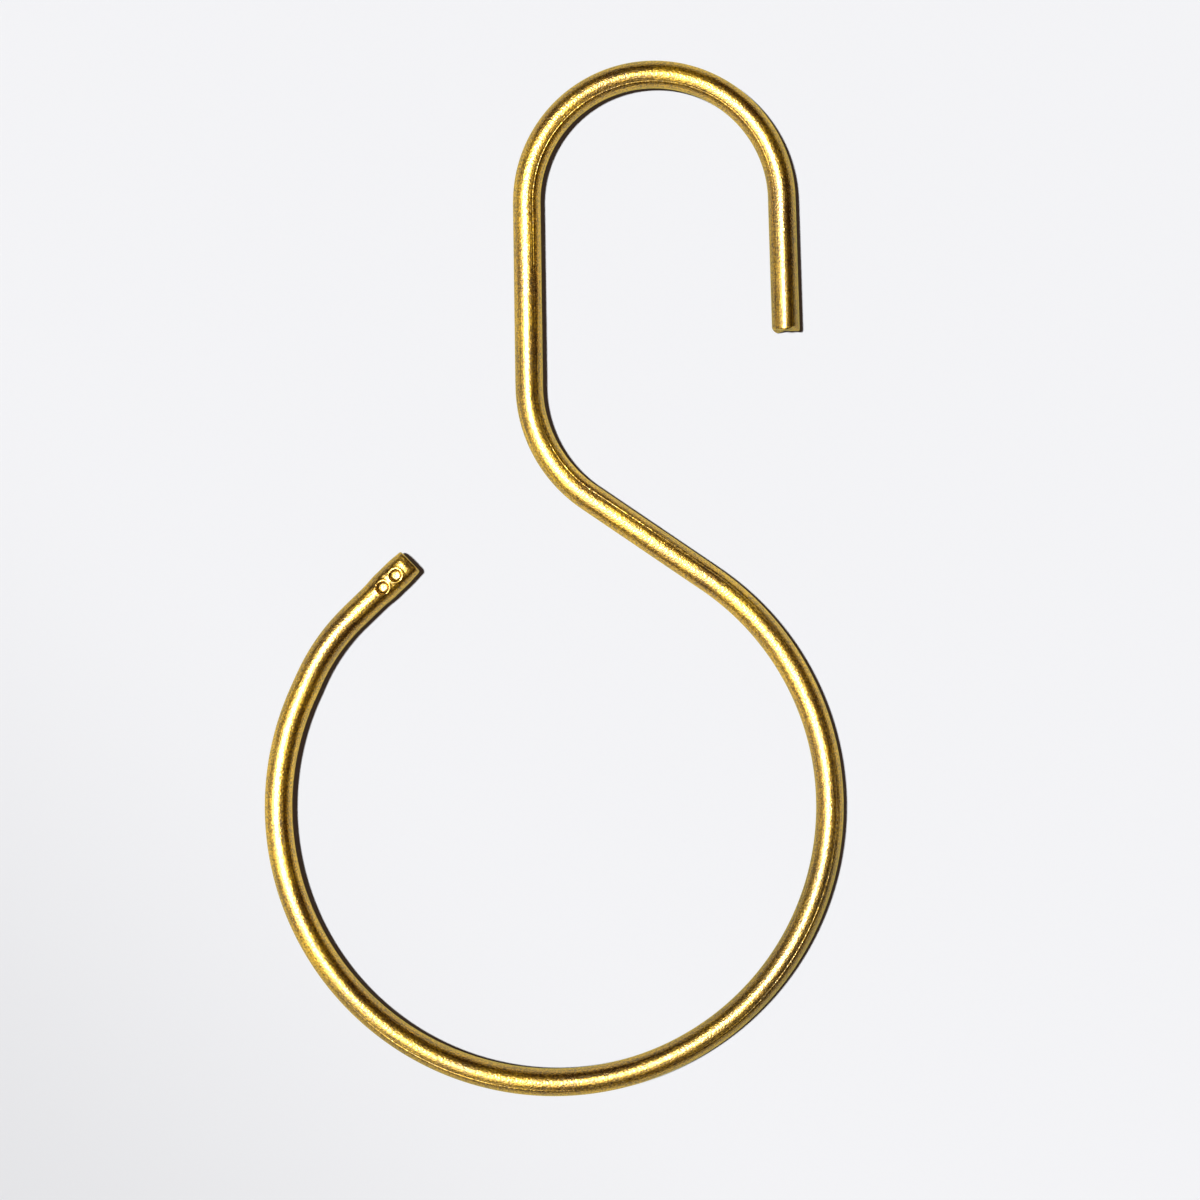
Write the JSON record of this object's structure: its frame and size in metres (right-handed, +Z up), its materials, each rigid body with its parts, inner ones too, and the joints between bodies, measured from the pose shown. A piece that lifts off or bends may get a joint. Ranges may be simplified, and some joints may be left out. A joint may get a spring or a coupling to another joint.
{
  "type": "s hook",
  "caption": "Round brass wire bent into an S: a narrow bend that hooks over a rail flows into a large open ring for hanging scarves, ties or tools.",
  "frame": {"origin": "centre of the outline, on the underside, as the hook lies flat", "axes": "+Z up through the wire's thickness, +Y along the back leg towards the bend that goes over the rail, +X towards the free leg's side"},
  "size_m": [0.0858, 0.1532, 0.0041],
  "materials": {
    "brass": "satin drawn wire, lightly tarnished"
  },
  "bodies": {
    "root": {"hook": "brass"}
  },
  "joints": []
}
